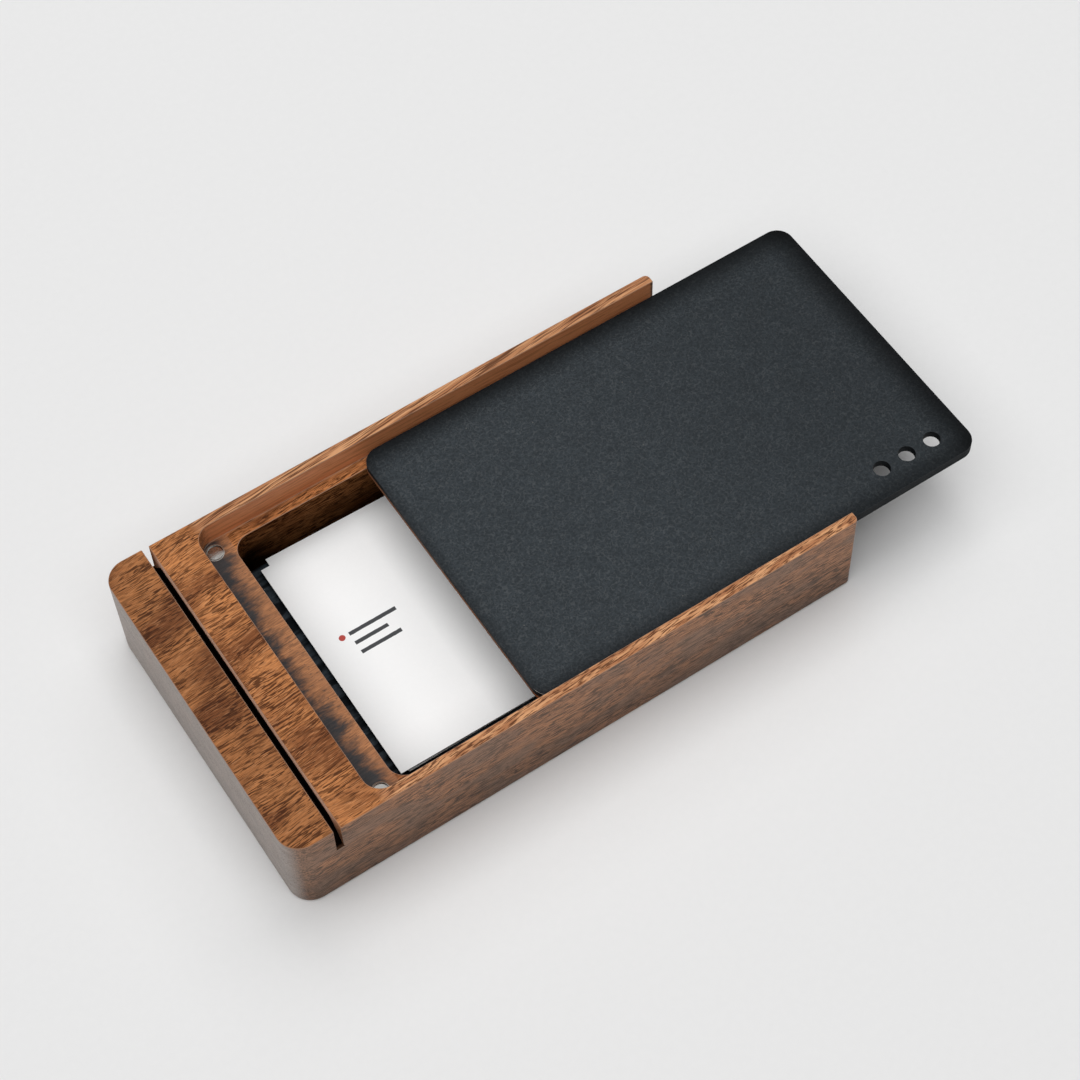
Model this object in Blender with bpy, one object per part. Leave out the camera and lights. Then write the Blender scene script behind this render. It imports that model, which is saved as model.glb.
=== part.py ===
"""Card box with a sliding lid.

A block of walnut is milled with a slot that stands a card up, a deep pocket for
loose note cards and a rebate on which a flat steel lid slides. Two disc magnets
in the end ledge hold the lid shut.

Units are metres and +Z is up. The slot end is at -X, the lid slides out along +X,
and the origin is the middle of the face that the box rests on.
"""
import math

import bmesh
import bpy

# Note cards, which the pocket is sized to hold
CARD_LENGTH = 0.127
CARD_WIDTH = 0.0762
CARD_THICKNESS = 0.0003
CARD_AIR = 0.0001
POCKET_PLAY_LENGTH = 0.0091
POCKET_PLAY_WIDTH = 0.0120
CARD_WALL_MARGIN = 0.0005

# How each loose card lies, lowest first: its turn in degrees, then how far it has
# slid along X and Y, from -1 to 1, of the play that the pocket leaves it
CARD_LIES = (
    (0.2, 0.75, 0.58),
    (-0.5, 0.60, 0.56),
    (0.3, 0.70, 0.52),
    (-0.3, 0.71, 0.42),
    (-1.13, 0.98, 0.92),
    (-0.46, 0.19, 0.39),
)

# Walls, floor and openings of the block
FLOOR_THICKNESS = 0.0050
POCKET_DEPTH = 0.0187
POCKET_CORNER = 0.0052
SIDE_LEDGE = 0.0036
RAIL_THICKNESS = 0.0033
RAIL_ABOVE_LID = 0.0046
REBATE_CORNER = 0.0053
END_WALL = 0.0080
SLOT_FROM_END = 0.0130
SLOT_WIDTH = 0.0021
SLOT_DEPTH = 0.0102
SLOT_WALL = 0.0118
BLOCK_CORNER = 0.0067
OPEN_END_CORNER = 0.0016
WOOD_EASE = 0.0004

# Lid
LID_THICKNESS = 0.0034
LID_SIDE_CLEARANCE = 0.0009
LID_STOP_GAP = 0.0005
LID_END_LAP = 0.0013
LID_CORNER = 0.0051
LID_EASE = 0.0005
LID_DRAWN_OUT = 0.0518
LID_ASIDE = -0.00045
HOLE_DIAMETER = 0.0050
HOLE_PITCH = 0.0087
HOLE_FROM_END = 0.0102
HOLE_FROM_SIDE = 0.0085
HOLE_COUNT = 3

# Magnets, pocket lining and base pad
MAGNET_DIAMETER = 0.0048
MAGNET_HEIGHT = 0.0030
MAGNET_EASE = 0.0003
MAGNET_INSET = 0.00385
MAGNET_WALL = 0.00275
MAGNET_CLEARANCE = 0.00015
FELT_THICKNESS = 0.0010
FELT_CLEARANCE = 0.0005
PAD_RECESS = 0.0008
PAD_PROUD = 0.0005
PAD_BORDER = 0.0060
PAD_CORNER = 0.0040
PAD_CLEARANCE = 0.0003

# Gap left under a piece that rests on another
SEAT_GAP = 0.0003

# Facets of a quarter turn and of a full circle, and the overshoot of a cutter
ARC_STEPS = 8
CIRCLE_STEPS = 32
OVERSHOOT = 0.0050
SHARP_ANGLE = math.radians(35)

# Sizes that follow from those above
POCKET_LENGTH = CARD_LENGTH + POCKET_PLAY_LENGTH
POCKET_WIDTH = CARD_WIDTH + POCKET_PLAY_WIDTH
REBATE_WIDTH = POCKET_WIDTH + 2 * SIDE_LEDGE
REBATE_FROM_END = SLOT_FROM_END + SLOT_WIDTH + SLOT_WALL
END_LEDGE = MAGNET_INSET + MAGNET_DIAMETER / 2 + MAGNET_WALL
LEDGE_DEPTH = RAIL_ABOVE_LID + LID_THICKNESS + SEAT_GAP
BLOCK_LENGTH = REBATE_FROM_END + END_LEDGE + POCKET_LENGTH + END_WALL
BLOCK_WIDTH = REBATE_WIDTH + 2 * RAIL_THICKNESS
BLOCK_HEIGHT = FLOOR_THICKNESS + POCKET_DEPTH + LEDGE_DEPTH
LID_LENGTH = END_LEDGE + POCKET_LENGTH + LID_END_LAP - LID_STOP_GAP
LID_WIDTH = REBATE_WIDTH - 2 * LID_SIDE_CLEARANCE

# Places along X and Z
SLOT_END_X = -BLOCK_LENGTH / 2
OPEN_END_X = BLOCK_LENGTH / 2
REBATE_X = SLOT_END_X + REBATE_FROM_END
POCKET_X = REBATE_X + END_LEDGE
POCKET_CENTRE_X = POCKET_X + POCKET_LENGTH / 2
BLOCK_BASE_Z = PAD_PROUD
FLOOR_Z = BLOCK_BASE_Z + FLOOR_THICKNESS
LEDGE_Z = FLOOR_Z + POCKET_DEPTH
BLOCK_TOP_Z = BLOCK_BASE_Z + BLOCK_HEIGHT
FELT_Z = FLOOR_Z + SEAT_GAP
STACK_Z = FELT_Z + FELT_THICKNESS + CARD_AIR
LID_CLOSED_X = REBATE_X + LID_STOP_GAP


def make_material(name, colour, roughness, metallic=0.0):
    """Return a Principled material of one colour."""
    material = bpy.data.materials.new(name)
    material.use_nodes = True
    shader = material.node_tree.nodes["Principled BSDF"]
    shader.inputs["Base Color"].default_value = (*colour, 1.0)
    shader.inputs["Roughness"].default_value = roughness
    shader.inputs["Metallic"].default_value = metallic
    return material


def rounded_box_outline(x_range, y_range, left_radius, right_radius):
    """Return the points of a rectangle with round corners, counter-clockwise from above."""
    x0, x1 = x_range
    y0, y1 = y_range
    corners = (
        (x0 + left_radius, y0 + left_radius, left_radius, math.pi),
        (x1 - right_radius, y0 + right_radius, right_radius, 1.5 * math.pi),
        (x1 - right_radius, y1 - right_radius, right_radius, 0.0),
        (x0 + left_radius, y1 - left_radius, left_radius, 0.5 * math.pi),
    )
    points = []
    for centre_x, centre_y, radius, start in corners:
        for step in range(ARC_STEPS + 1):
            angle = start + 0.5 * math.pi * step / ARC_STEPS
            x = centre_x + radius * math.cos(angle)
            y = centre_y + radius * math.sin(angle)
            points.append((x, y))
    return points


def circle_outline(x, y, radius):
    """Return the points of a circle, counter-clockwise from above."""
    angles = (2 * math.pi * step / CIRCLE_STEPS for step in range(CIRCLE_STEPS))
    return [(x + radius * math.cos(angle), y + radius * math.sin(angle)) for angle in angles]


def add_prism(name, outline, z_range, material=None):
    """Extrude an outline between two heights and return the new object."""
    low, high = z_range
    shape = bmesh.new()
    base = shape.faces.new([shape.verts.new((x, y, low)) for x, y in outline])
    raised = bmesh.ops.extrude_face_region(shape, geom=[base])
    top = [item for item in raised["geom"] if isinstance(item, bmesh.types.BMVert)]
    bmesh.ops.translate(shape, verts=top, vec=(0, 0, high - low))
    bmesh.ops.recalc_face_normals(shape, faces=shape.faces)
    mesh = bpy.data.meshes.new(name)
    shape.to_mesh(mesh)
    shape.free()
    mesh.shade_smooth()
    mesh.set_sharp_from_angle(angle=SHARP_ANGLE)
    item = bpy.data.objects.new(name, mesh)
    if material:
        mesh.materials.append(material)
    bpy.context.scene.collection.objects.link(item)
    return item


def cut(target, name, outline, z_range):
    """Cut a prism out of an object."""
    cutter = add_prism(name, outline, z_range)
    cutter.parent = target
    cutter.hide_render = True
    cutter.display_type = 'WIRE'
    boolean = target.modifiers.new(name, 'BOOLEAN')
    boolean.operation = 'DIFFERENCE'
    boolean.solver = 'EXACT'
    boolean.object = cutter


def ease_edges(target, width, segments):
    """Round over the sharp edges of an object."""
    bevel = target.modifiers.new("eased_edges", 'BEVEL')
    bevel.width = width
    bevel.segments = segments
    bevel.limit_method = 'ANGLE'
    bevel.angle_limit = SHARP_ANGLE


def magnet_places():
    """Return each magnet's name and the X and Y of its centre."""
    x = REBATE_X + MAGNET_INSET
    y = REBATE_WIDTH / 2 - MAGNET_INSET
    return (("magnet_back", x, y), ("magnet_front", x, -y))


def add_block():
    """Mill the walnut block: slot, lid rebate, card pocket, magnet bores and pad recess."""
    walnut = make_material("walnut", (0.29, 0.13, 0.055), 0.55)
    half_width = BLOCK_WIDTH / 2
    outline = rounded_box_outline(
        (SLOT_END_X, OPEN_END_X), (-half_width, half_width), BLOCK_CORNER, OPEN_END_CORNER)
    block = add_prism("box_body", outline, (BLOCK_BASE_Z, BLOCK_TOP_Z), walnut)
    above = BLOCK_TOP_Z + OVERSHOOT
    rebate = rounded_box_outline(
        (REBATE_X, OPEN_END_X + OVERSHOOT + REBATE_CORNER),
        (-REBATE_WIDTH / 2, REBATE_WIDTH / 2), REBATE_CORNER, REBATE_CORNER)
    cut(block, "rebate_cutter", rebate, (LEDGE_Z, above))
    pocket = rounded_box_outline(
        (POCKET_X, POCKET_X + POCKET_LENGTH),
        (-POCKET_WIDTH / 2, POCKET_WIDTH / 2), POCKET_CORNER, POCKET_CORNER)
    cut(block, "pocket_cutter", pocket, (FLOOR_Z, above))
    slot_x = SLOT_END_X + SLOT_FROM_END
    slot_reach = half_width + OVERSHOOT
    slot = (
        (slot_x, -slot_reach),
        (slot_x + SLOT_WIDTH, -slot_reach),
        (slot_x + SLOT_WIDTH, slot_reach),
        (slot_x, slot_reach),
    )
    cut(block, "slot_cutter", slot, (BLOCK_TOP_Z - SLOT_DEPTH, above))
    bore_floor = LEDGE_Z - MAGNET_HEIGHT - SEAT_GAP
    for name, x, y in magnet_places():
        bore = circle_outline(x, y, MAGNET_DIAMETER / 2 + MAGNET_CLEARANCE)
        cut(block, name + "_bore_cutter", bore, (bore_floor, above))
    recess = pad_outline(0.0)
    cut(block, "pad_recess_cutter", recess, (BLOCK_BASE_Z - OVERSHOOT, BLOCK_BASE_Z + PAD_RECESS))
    ease_edges(block, WOOD_EASE, 1)


def pad_outline(clearance):
    """Return the outline of the base pad's recess, drawn in by a clearance."""
    inset = PAD_BORDER + clearance
    corner = PAD_CORNER - clearance
    return rounded_box_outline(
        (SLOT_END_X + inset, OPEN_END_X - inset),
        (-BLOCK_WIDTH / 2 + inset, BLOCK_WIDTH / 2 - inset), corner, corner)


def add_base_pad():
    """Add the rubber sheet let into the underside, on which the box stands."""
    rubber = make_material("base_rubber", (0.02, 0.02, 0.022), 0.85)
    top = BLOCK_BASE_Z + PAD_RECESS - SEAT_GAP
    add_prism("base_pad", pad_outline(PAD_CLEARANCE), (0.0, top), rubber)


def add_felt():
    """Line the floor of the pocket with felt."""
    felt = make_material("felt", (0.012, 0.014, 0.017), 0.95)
    half_width = POCKET_WIDTH / 2 - FELT_CLEARANCE
    corner = POCKET_CORNER - FELT_CLEARANCE
    outline = rounded_box_outline(
        (POCKET_X + FELT_CLEARANCE, POCKET_X + POCKET_LENGTH - FELT_CLEARANCE),
        (-half_width, half_width), corner, corner)
    add_prism("felt_liner", outline, (FELT_Z, FELT_Z + FELT_THICKNESS), felt)


def add_magnets():
    """Seat a disc magnet in each bore, level with the ledge."""
    nickel = make_material("nickel", (0.62, 0.61, 0.59), 0.28, 1.0)
    for name, x, y in magnet_places():
        outline = circle_outline(0.0, 0.0, MAGNET_DIAMETER / 2)
        magnet = add_prism(name, outline, (-MAGNET_HEIGHT, 0.0), nickel)
        magnet.location = (x, y, LEDGE_Z)
        ease_edges(magnet, MAGNET_EASE, 2)


def add_cards():
    """Stack the loose cards on the felt, each lying a little differently."""
    paper = make_material("card_paper", (0.86, 0.86, 0.85), 0.75)
    half = (CARD_LENGTH / 2, CARD_WIDTH / 2)
    outline = ((-half[0], -half[1]), (half[0], -half[1]), (half[0], half[1]), (-half[0], half[1]))
    for index, (turn, slide_x, slide_y) in enumerate(CARD_LIES):
        angle = math.radians(turn)
        across = math.sin(abs(angle))
        along = math.cos(angle)
        reach_x = half[0] * along + half[1] * across + CARD_WALL_MARGIN
        reach_y = half[0] * across + half[1] * along + CARD_WALL_MARGIN
        card = add_prism(f"card_{index + 1}", outline, (0.0, CARD_THICKNESS), paper)
        card.location = (
            POCKET_CENTRE_X + slide_x * (POCKET_LENGTH / 2 - reach_x),
            slide_y * (POCKET_WIDTH / 2 - reach_y),
            STACK_Z + index * (CARD_THICKNESS + CARD_AIR),
        )
        card.rotation_euler.z = angle


def add_lid():
    """Lay the steel lid on the ledges, drawn part of the way out, nearer the front rail."""
    coated_steel = make_material("coated_steel", (0.035, 0.041, 0.047), 0.6)
    runner = bpy.data.objects.new("lid_runner", None)
    runner.location = (LID_CLOSED_X + LID_DRAWN_OUT, LID_ASIDE, LEDGE_Z + SEAT_GAP)
    bpy.context.scene.collection.objects.link(runner)
    half_width = LID_WIDTH / 2
    outline = rounded_box_outline((0.0, LID_LENGTH), (-half_width, half_width), LID_CORNER, LID_CORNER)
    lid = add_prism("lid", outline, (0.0, LID_THICKNESS), coated_steel)
    lid.parent = runner
    for index in range(HOLE_COUNT):
        x = LID_LENGTH - HOLE_FROM_END - index * HOLE_PITCH
        hole = circle_outline(x, -half_width + HOLE_FROM_SIDE, HOLE_DIAMETER / 2)
        cut(lid, f"lid_hole_cutter_{index + 1}", hole, (-OVERSHOOT, LID_THICKNESS + OVERSHOOT))
    ease_edges(lid, LID_EASE, 2)


for old in list(bpy.data.objects):
    bpy.data.objects.remove(old, do_unlink=True)

add_block()
add_base_pad()
add_felt()
add_magnets()
add_cards()
add_lid()
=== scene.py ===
"""Looks of the walnut card box: its finer shapes, finishes, studio and camera.

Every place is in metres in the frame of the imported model: +X runs from the slot end
to the open end, +Y to the back, +Z up, and the box stands on Z = 0.
"""
import math
from typing import NamedTuple

import bmesh
import bpy
from mathutils import Matrix, Vector


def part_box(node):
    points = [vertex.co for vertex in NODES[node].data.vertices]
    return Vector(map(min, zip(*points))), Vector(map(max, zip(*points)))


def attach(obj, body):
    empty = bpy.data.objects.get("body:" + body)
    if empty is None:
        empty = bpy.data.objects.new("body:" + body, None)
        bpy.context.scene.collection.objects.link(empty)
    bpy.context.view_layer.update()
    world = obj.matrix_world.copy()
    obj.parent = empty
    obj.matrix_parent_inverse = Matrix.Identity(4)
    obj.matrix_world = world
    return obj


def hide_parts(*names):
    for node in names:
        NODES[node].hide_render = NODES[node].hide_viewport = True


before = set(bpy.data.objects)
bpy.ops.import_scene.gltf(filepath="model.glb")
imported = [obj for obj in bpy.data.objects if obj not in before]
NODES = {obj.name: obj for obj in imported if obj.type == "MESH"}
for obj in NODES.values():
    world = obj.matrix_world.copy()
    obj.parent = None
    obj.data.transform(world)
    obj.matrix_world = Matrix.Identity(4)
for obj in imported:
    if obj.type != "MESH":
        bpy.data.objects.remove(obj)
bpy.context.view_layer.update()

# Places read from the frame
BLOCK_LOW, BLOCK_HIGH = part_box("box_body")
LID_LOW, LID_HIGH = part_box("lid")
FELT_LOW, FELT_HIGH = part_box("felt_liner")
PAD_LOW, PAD_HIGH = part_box("base_pad")
MAGNET_LOW, MAGNET_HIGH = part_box("magnet_back")
CARD_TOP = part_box("card_6")[1].z

# Milled shapes of the block
LEDGE_Z = MAGNET_HIGH.z
RAIL_THICKNESS = 0.0033
FELT_CLEARANCE = 0.0005
SEAT_GAP = 0.0003
MAGNET_CLEARANCE = 0.00015
BLOCK_CORNER = 0.0067
OPEN_END_CORNER = 0.0016
REBATE_CORNER = 0.0053
POCKET_CORNER = 0.0052
MAGNET_INSET = 0.00385
SLOT_FROM_END = 0.0130
SLOT_WIDTH = 0.0021
SLOT_DEPTH = 0.0102
PAD_RECESS = 0.0008
PAD_CLEARANCE = 0.0003
PAD_CORNER = 0.0040
WOOD_EASE = 0.0003
WOOD_EASE_STEPS = 3
REBATE_X = (MAGNET_LOW.x + MAGNET_HIGH.x) / 2 - MAGNET_INSET
REBATE_Y = BLOCK_HIGH.y - RAIL_THICKNESS
SLOT_X = BLOCK_LOW.x + SLOT_FROM_END
POCKET_LOW = FELT_LOW - Vector((FELT_CLEARANCE, FELT_CLEARANCE, SEAT_GAP))
POCKET_HIGH = FELT_HIGH + Vector((FELT_CLEARANCE, FELT_CLEARANCE, 0.0))

# Magnets: the crown is a row of insets, each with its rise
MAGNET_RIM = 0.00035
MAGNET_RIM_STEPS = 4
MAGNET_CROWN = ((0.0007, 0.00007), (0.0007, 0.00004), (0.0005, 0.00001))

# Felt
FELT_VOXEL = 0.0006
FELT_CORNER = POCKET_CORNER - FELT_CLEARANCE
FELT_FUZZ = 0.00006
FELT_SEED = 4

# Lid
LID_CORNER = 0.0051
LID_EASE = 0.0006
LID_EASE_STEPS = 4
HOLE_COUNT = 3
HOLE_RADIUS = 0.0025
HOLE_PITCH = 0.0087
HOLE_FROM_END = 0.0102
HOLE_FROM_SIDE = 0.0085
HOLE_DEBUR = 0.0010
HOLE_DEBUR_LAP = 0.0001
HOLES = [
    Vector((LID_HIGH.x - HOLE_FROM_END - index * HOLE_PITCH, LID_LOW.y + HOLE_FROM_SIDE, 0.0))
    for index in range(HOLE_COUNT)
]

# Cutters run past the faces they open
OVERSHOOT = 0.0050
CORNER_STEPS = 16
CIRCLE_STEPS = 64
SMOOTH_ANGLE = math.radians(35)
UPRIGHT_PLAY = 1e-6

# Camera
IMAGE_PIXELS = 1080
FOCAL_PIXELS = 2582.7
CAMERA_PLACE = Vector((-0.17618, -0.32287, 0.63001))
CAMERA_AZIMUTH = math.radians(-31.158)
CAMERA_ELEVATION = math.radians(58.326)
CAMERA_ROLL = math.radians(-2.552)

# Studio: each softbox has a name, a place, a width in metres and a power in watts
FLOOR_SIZE = 8.0
FLOOR_DROP = 0.0001
FLOOR_TONE = 0.80
FLOOR_WEAVE = 0.004
FLOOR_WEAVE_WAVES = 400.0
BACKDROP_TONE = 0.82
WORLD_FILL = 0.01
WHITE = (1.0, 1.0, 1.0, 1.0)
SOFTBOXES = (
    ("softbox", Vector((-1.20, -0.60, 3.0)), 4.8, 142.8),
    ("key", Vector((1.80, 1.80, 3.0)), 3.6, 64.6),
)


# Modelling by hand


def settle(name):
    """Name the shape that was just added and put its place into its mesh."""
    piece = bpy.context.object
    piece.name = name
    piece.data.name = name
    bpy.ops.object.transform_apply(location=True, rotation=True, scale=True)
    return piece


def add_box(name, low, high):
    """Add a box between two corners."""
    bpy.ops.object.select_all(action='DESELECT')
    middle = (Vector(low) + Vector(high)) / 2
    bpy.ops.mesh.primitive_cube_add(size=1.0, location=middle)
    bpy.context.object.scale = Vector(high) - Vector(low)
    return settle(name)


def add_disc(name, centre, radius, low, high):
    """Add an upright cylinder between two heights."""
    bpy.ops.object.select_all(action='DESELECT')
    bpy.ops.mesh.primitive_cylinder_add(
        vertices=CIRCLE_STEPS, radius=radius, depth=high - low,
        location=(*centre, (low + high) / 2))
    return settle(name)


def add_cone(name, centre, low, high, low_radius, high_radius):
    """Add an upright cut cone between two heights."""
    bpy.ops.object.select_all(action='DESELECT')
    bpy.ops.mesh.primitive_cone_add(
        vertices=CIRCLE_STEPS, radius1=low_radius, radius2=high_radius, depth=high - low,
        location=(*centre, (low + high) / 2))
    return settle(name)


def pick(piece):
    """Make a piece the only one selected, and active."""
    bpy.ops.object.select_all(action='DESELECT')
    piece.select_set(True)
    bpy.context.view_layer.objects.active = piece


def edit(piece, kind):
    """Open a piece in edit mode with nothing selected and return its editing mesh."""
    pick(piece)
    bpy.ops.object.mode_set(mode='EDIT')
    bpy.ops.mesh.select_mode(type=kind)
    bpy.ops.mesh.select_all(action='DESELECT')
    return bmesh.from_edit_mesh(piece.data)


def done():
    """Close edit mode."""
    bpy.ops.object.mode_set(mode='OBJECT')


def round_uprights(piece, radius, side=None):
    """Round the upright edges of a box, or only those at its low or high X side."""
    shape = edit(piece, 'EDGE')
    middle = sum(vert.co.x for vert in shape.verts) / len(shape.verts)
    for edge in shape.edges:
        a, b = (vert.co for vert in edge.verts)
        upright = (a - b).xy.length < UPRIGHT_PLAY
        wanted = side is None or (side == "low") == (a.x < middle)
        edge.select_set(upright and wanted)
    bmesh.update_edit_mesh(piece.data)
    bpy.ops.mesh.bevel(offset=radius, segments=CORNER_STEPS, affect='EDGES')
    done()
    return piece


def apply_modifier(piece, modifier):
    """Apply a modifier to its piece."""
    pick(piece)
    bpy.ops.object.modifier_apply(modifier=modifier.name)


def carve(piece, cutter):
    """Cut one piece out of another and throw the cutter away."""
    boolean = piece.modifiers.new("carve", 'BOOLEAN')
    boolean.operation = 'DIFFERENCE'
    boolean.solver = 'EXACT'
    boolean.object = cutter
    apply_modifier(piece, boolean)
    bpy.data.objects.remove(cutter, do_unlink=True)


def ease_edges(piece, width, segments):
    """Round over every sharp edge of a piece and shade the rounds smoothly."""
    pick(piece)
    bpy.ops.object.shade_smooth_by_angle(angle=SMOOTH_ANGLE)
    bevel = piece.modifiers.new("ease", 'BEVEL')
    bevel.width = width
    bevel.segments = segments
    bevel.limit_method = 'ANGLE'
    bevel.angle_limit = SMOOTH_ANGLE
    bevel.harden_normals = True
    apply_modifier(piece, bevel)


def finish_piece(piece, node_name, body, material):
    """Let a piece stand for a node of the frame, in its finish."""
    piece.data.materials.clear()
    piece.data.materials.append(material)
    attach(piece, body)
    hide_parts(node_name)


# Node building

# Noise runs about its middle, and most of it lies in its spread
MIDDLE = 0.5
SPREAD = (0.3, 0.7)

# A Mix node has a socket for each kind of value, and these are its colours
MIX_COLOURS_IN = (6, 7)
MIX_COLOUR_OUT = 2


class Mark(NamedTuple):
    """A mark that noise draws: its waves a metre each way, where it sets in and is full."""

    waves: tuple
    start: float
    full: float
    low: float = 0.0
    high: float = 1.0
    detail: float = 1.0
    roughness: float = 0.5


def evenly(value):
    """Return the same value for X, Y and Z."""
    return (value, value, value)


def node(tree, kind, inputs=None, **settings):
    """Add a shader node, set its properties, and link or set its inputs."""
    made = tree.nodes.new(kind)
    for key, value in settings.items():
        setattr(made, key, value)
    for key, value in (inputs or {}).items():
        if isinstance(value, bpy.types.NodeSocket):
            tree.links.new(value, made.inputs[key])
        else:
            made.inputs[key].default_value = value
    return made


def calc(tree, operation, *values):
    """Return the result of a Math node."""
    return node(tree, 'ShaderNodeMath', dict(enumerate(values)), operation=operation).outputs[0]


def times(tree, *values):
    """Return the product of several values."""
    product = values[0]
    for value in values[1:]:
        product = calc(tree, 'MULTIPLY', product, value)
    return product


def minus(tree, value, other):
    """Return one value less another."""
    return calc(tree, 'SUBTRACT', value, other)


def either(tree, value, other):
    """Return the larger of two values."""
    return calc(tree, 'MAXIMUM', value, other)


def size_of(tree, value):
    """Return a value without its sign."""
    return calc(tree, 'ABSOLUTE', value)


def vector_calc(tree, operation, *values):
    """Return the vector from a Vector Math node."""
    made = node(tree, 'ShaderNodeVectorMath', dict(enumerate(values)), operation=operation)
    return made.outputs[0]


def combine(tree, **parts):
    """Return a vector made of its X, Y and Z."""
    return node(tree, 'ShaderNodeCombineXYZ', parts).outputs[0]


def split(tree, vector):
    """Return the X, Y and Z of a vector."""
    return node(tree, 'ShaderNodeSeparateXYZ', {0: vector}).outputs


def fade(tree, value, start, end, low=0.0, high=1.0):
    """Return a value carried smoothly from low at start to high at end."""
    if start > end:
        start, end, low, high = end, start, high, low
    inputs = {'Value': value, 'From Min': start, 'From Max': end, 'To Min': low, 'To Max': high}
    made = node(tree, 'ShaderNodeMapRange', inputs, interpolation_type='SMOOTHSTEP')
    return made.outputs['Result']


def vary(tree, value, low, high):
    """Return noise carried to a level between low and high."""
    return fade(tree, value, *SPREAD, low, high)


def within(tree, value, low, high, soft):
    """Return 1 between two limits and 0 outside them, with soft edges."""
    rise = fade(tree, value, low - soft, low)
    fall = fade(tree, value, high + soft, high)
    return times(tree, rise, fall)


def noise(tree, place, waves, detail=1.0, roughness=0.5):
    """Return noise of so many waves a metre each way."""
    stretched = vector_calc(tree, 'MULTIPLY', place, waves)
    inputs = {'Vector': stretched, 'Scale': 1.0, 'Detail': detail, 'Roughness': roughness}
    return node(tree, 'ShaderNodeTexNoise', inputs).outputs['Fac']


def drawn(tree, place, mark):
    """Return how strong a mark is at a place."""
    grain = noise(tree, place, mark.waves, mark.detail, mark.roughness)
    return fade(tree, grain, mark.start, mark.full, mark.low, mark.high)


def blend(tree, share, first, second, mode='MIX'):
    """Return one colour blended into another."""
    made = node(tree, 'ShaderNodeMix', {'Factor': share}, data_type='RGBA', blend_type=mode)
    for index, colour in zip(MIX_COLOURS_IN, (first, second)):
        if isinstance(colour, bpy.types.NodeSocket):
            tree.links.new(colour, made.inputs[index])
        else:
            made.inputs[index].default_value = (*colour, 1.0)
    return made.outputs[MIX_COLOUR_OUT]


def shade(tree, colour, level):
    """Return a colour multiplied by a grey level."""
    grey = node(tree, 'ShaderNodeCombineColor', {0: level, 1: level, 2: level}).outputs[0]
    return blend(tree, 1.0, colour, grey, 'MULTIPLY')


def bump(tree, height, depth, strength):
    """Return the normal of a relief of that depth."""
    inputs = {'Height': height, 'Distance': depth, 'Strength': strength}
    return node(tree, 'ShaderNodeBump', inputs).outputs['Normal']


def new_material(name, **sockets):
    """Return a material, its tree and its Principled shader with plain values set."""
    material = bpy.data.materials.new(name)
    material.use_nodes = True
    tree = material.node_tree
    shader = tree.nodes["Principled BSDF"]
    for key, value in sockets.items():
        shader.inputs[key.replace("_", " ")].default_value = value
    return material, tree, shader


def wire(tree, shader, **links):
    """Link values to the shader's sockets."""
    for key, socket in links.items():
        tree.links.new(socket, shader.inputs[key.replace("_", " ")])


def object_place(tree):
    """Return the point on the piece, in metres in the frame."""
    return node(tree, 'ShaderNodeTexCoord').outputs['Object']


# Effects that several finishes share

# How far up an eased edge looks, from its wall to its top
EASED_UP = (0.35, 0.90)
EASED_SOFT = 0.08


def new_group(name, inputs, outputs):
    """Return a shader node group, the sockets that enter it and those that leave it."""
    group = bpy.data.node_groups.new(name, 'ShaderNodeTree')
    for label, kind in inputs:
        group.interface.new_socket(label, in_out='INPUT', socket_type=kind)
    for label, kind in outputs:
        group.interface.new_socket(label, in_out='OUTPUT', socket_type=kind)
    return group, group.nodes.new('NodeGroupInput').outputs, group.nodes.new('NodeGroupOutput').inputs


def wander_group():
    """Shift a place to and fro by soft noise, so that a straight pattern wavers."""
    group, given, out = new_group(
        "wander",
        (("Place", 'NodeSocketVector'), ("Waves", 'NodeSocketVector'), ("Reach", 'NodeSocketVector')),
        (("Place", 'NodeSocketVector'),))
    stretched = vector_calc(group, 'MULTIPLY', given["Place"], given["Waves"])
    sway = node(group, 'ShaderNodeTexNoise', {'Vector': stretched, 'Scale': 1.0, 'Detail': 1.0})
    centred = vector_calc(group, 'SUBTRACT', sway.outputs['Color'], evenly(MIDDLE))
    shift = vector_calc(group, 'MULTIPLY', centred, given["Reach"])
    group.links.new(vector_calc(group, 'ADD', given["Place"], shift), out["Place"])
    return group


def fleck_group():
    """Scatter small round flecks, each at a random spot, over a share of the cells."""
    group, given, out = new_group(
        "flecks",
        (("Place", 'NodeSocketVector'), ("Waves", 'NodeSocketFloat'), ("Size", 'NodeSocketFloat'),
         ("Share", 'NodeSocketFloat')),
        (("Mask", 'NodeSocketFloat'),))
    cells = node(group, 'ShaderNodeTexVoronoi', {'Vector': given["Place"], 'Scale': given["Waves"]})
    near = calc(group, 'LESS_THAN', cells.outputs['Distance'], given["Size"])
    draw = node(group, 'ShaderNodeSeparateColor', {0: cells.outputs['Color']}).outputs[0]
    chosen = calc(group, 'LESS_THAN', draw, given["Share"])
    group.links.new(times(group, near, chosen), out["Mask"])
    return group


def facing_group():
    """Tell how far a face looks up or down, how far along X, and whether it is an eased edge."""
    group, given, out = new_group(
        "facing",
        (("Normal", 'NodeSocketVector'),),
        (("Up", 'NodeSocketFloat'), ("Along", 'NodeSocketFloat'), ("Edge", 'NodeSocketFloat')))
    along, _, up = (size_of(group, part) for part in split(group, given["Normal"]))
    group.links.new(up, out["Up"])
    group.links.new(along, out["Along"])
    group.links.new(within(group, up, *EASED_UP, EASED_SOFT), out["Edge"])
    return group


WANDER = wander_group()
FLECKS = fleck_group()
FACING = facing_group()


def wander(tree, place, waves, reach):
    """Return a place that wavers, by so many waves a metre and so far each way."""
    inputs = {"Place": place, "Waves": waves, "Reach": reach}
    return node(tree, 'ShaderNodeGroup', inputs, node_tree=WANDER).outputs["Place"]


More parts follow.
